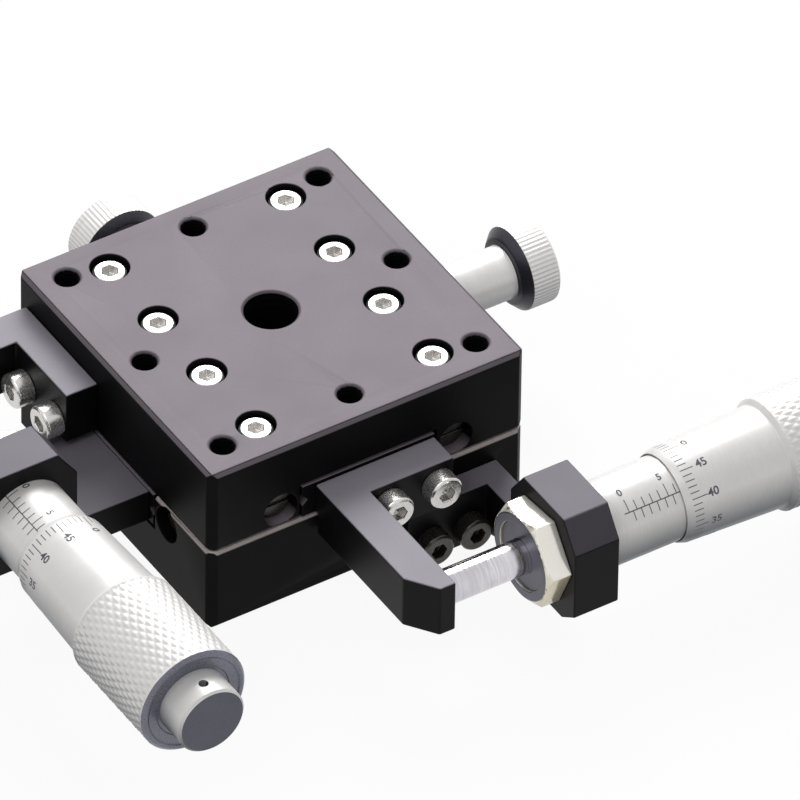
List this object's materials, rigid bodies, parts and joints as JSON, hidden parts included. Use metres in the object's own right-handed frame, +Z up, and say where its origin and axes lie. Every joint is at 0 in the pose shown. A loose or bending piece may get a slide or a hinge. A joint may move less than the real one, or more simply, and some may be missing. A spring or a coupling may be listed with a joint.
{
  "type": "manual linear stage",
  "caption": "Square two-axis linear stage on crossed-roller ways, with side micrometers on brackets, push arms and lock knobs.",
  "frame": {"origin": "centre of the base's underside", "axes": "+X out along the X micrometer, +Z up out of the table's face"},
  "size_m": [0.0995, 0.0808, 0.022],
  "materials": {
    "black_anodised": "satin black anodised",
    "ground_steel": "ground",
    "brass": "satin",
    "nickel": "satin nickel",
    "satin_chrome": "satin chrome",
    "satin_steel": "turned and knurled",
    "screw_steel": "bright",
    "hard_steel": "ground and hardened"
  },
  "bodies": {
    "base": {"base": "black_anodised", "base_rail_front": "ground_steel", "base_rail_rear": "ground_steel", "base_rail_screws": "screw_steel", "base_rail_end_screws": "screw_steel", "x_bracket": "black_anodised", "x_bracket_screws": "screw_steel", "x_sleeve": "satin_chrome", "x_clamp_nut": "nickel", "x_feed_nut": "brass", "x_base_spring_pin": "hard_steel", "x_return_spring": "hard_steel"},
    "carriage": {"carriage": "black_anodised", "x_arm": "black_anodised", "x_arm_screws": "screw_steel", "y_bracket": "black_anodised", "y_bracket_screws": "screw_steel", "y_sleeve": "satin_chrome", "y_clamp_nut": "nickel", "y_feed_nut": "brass", "x_carriage_spring_pin": "hard_steel", "y_carriage_spring_pin": "hard_steel", "y_return_spring": "hard_steel"},
    "table": {"table": "black_anodised", "table_rail_left": "ground_steel", "table_rail_right": "ground_steel", "table_rail_screws": "screw_steel", "table_rail_end_screws": "screw_steel", "y_arm": "black_anodised", "y_arm_screws": "screw_steel", "y_table_spring_pin": "hard_steel"},
    "x_ways": {"x_cage_front": "brass", "x_cage_rear": "brass", "x_rollers": "hard_steel"},
    "y_ways": {"y_cage_left": "brass", "y_cage_right": "brass", "y_rollers": "hard_steel"},
    "x_spindle": {"x_spindle": "hard_steel"},
    "y_spindle": {"y_spindle": "hard_steel"},
    "x_thimble": {"x_thimble": "satin_chrome", "x_lead_screw": "hard_steel", "x_end_cap": "satin_chrome"},
    "y_thimble": {"y_thimble": "satin_chrome", "y_lead_screw": "hard_steel", "y_end_cap": "satin_chrome"},
    "x_lock_pad": {"x_lock_pad": "brass"},
    "x_lock_knob": {"x_lock_knob": "satin_steel"},
    "y_lock_pad": {"y_lock_pad": "brass"},
    "y_lock_knob": {"y_lock_knob": "satin_steel"}
  },
  "joints": [
    {"name": "x_spindle_slide", "type": "slide", "parent": "base", "child": "x_spindle", "axis": [1, 0, 0], "range_m": [-0.00651, 0.00651]},
    {"name": "x_thimble_turn", "type": "hinge", "parent": "x_spindle", "child": "x_thimble", "pos_m": [0.03, -0.0381, 0.01171], "axis": [1, 0, 0], "range_deg": [-4687.2, 4687.2]},
    {"name": "x_slide", "type": "slide", "parent": "base", "child": "carriage", "axis": [1, 0, 0], "range_m": [-0.0065, 0.0065], "deforming": ["x_return_spring"]},
    {"name": "x_ways_slide", "type": "slide", "parent": "base", "child": "x_ways", "axis": [1, 0, 0], "range_m": [-0.00326, 0.00326]},
    {"name": "y_spindle_slide", "type": "slide", "parent": "carriage", "child": "y_spindle", "axis": [0, 1, 0], "range_m": [-0.00651, 0.00651]},
    {"name": "y_thimble_turn", "type": "hinge", "parent": "y_spindle", "child": "y_thimble", "pos_m": [-0.0359, -0.02, 0.01492], "axis": [0, -1, 0], "range_deg": [-4687.2, 4687.2]},
    {"name": "y_slide", "type": "slide", "parent": "carriage", "child": "table", "axis": [0, 1, 0], "range_m": [-0.0065, 0.0065], "deforming": ["y_return_spring"]},
    {"name": "y_ways_slide", "type": "slide", "parent": "carriage", "child": "y_ways", "axis": [0, 1, 0], "range_m": [-0.00326, 0.00326]},
    {"name": "x_lock_slide", "type": "slide", "parent": "base", "child": "x_lock_pad", "axis": [0, 1, 0], "range_m": [0, 0.0005]},
    {"name": "x_lock_turn", "type": "hinge", "parent": "x_lock_pad", "child": "x_lock_knob", "pos_m": [0, 0.025, 0.0081], "axis": [0, 1, 0], "range_deg": [0, 360.72]},
    {"name": "y_lock_slide", "type": "slide", "parent": "table", "child": "y_lock_pad", "axis": [1, 0, 0], "range_m": [0, 0.0005]},
    {"name": "y_lock_turn", "type": "hinge", "parent": "y_lock_pad", "child": "y_lock_knob", "pos_m": [0.025, 0, 0.0139], "axis": [1, 0, 0], "range_deg": [0, 360.72]}
  ],
  "couplings": [
    {"joint": "x_spindle_slide", "follows": "x_slide", "ratio": 1},
    {"joint": "x_thimble_turn", "follows": "x_slide", "rad_per_m": 12566},
    {"joint": "x_ways_slide", "follows": "x_slide", "ratio": 0.5},
    {"joint": "y_spindle_slide", "follows": "y_slide", "ratio": 1},
    {"joint": "y_thimble_turn", "follows": "y_slide", "rad_per_m": -12566},
    {"joint": "y_ways_slide", "follows": "y_slide", "ratio": 0.5},
    {"joint": "x_lock_turn", "follows": "x_lock_slide", "rad_per_m": 12566},
    {"joint": "y_lock_turn", "follows": "y_lock_slide", "rad_per_m": 12566}
  ]
}
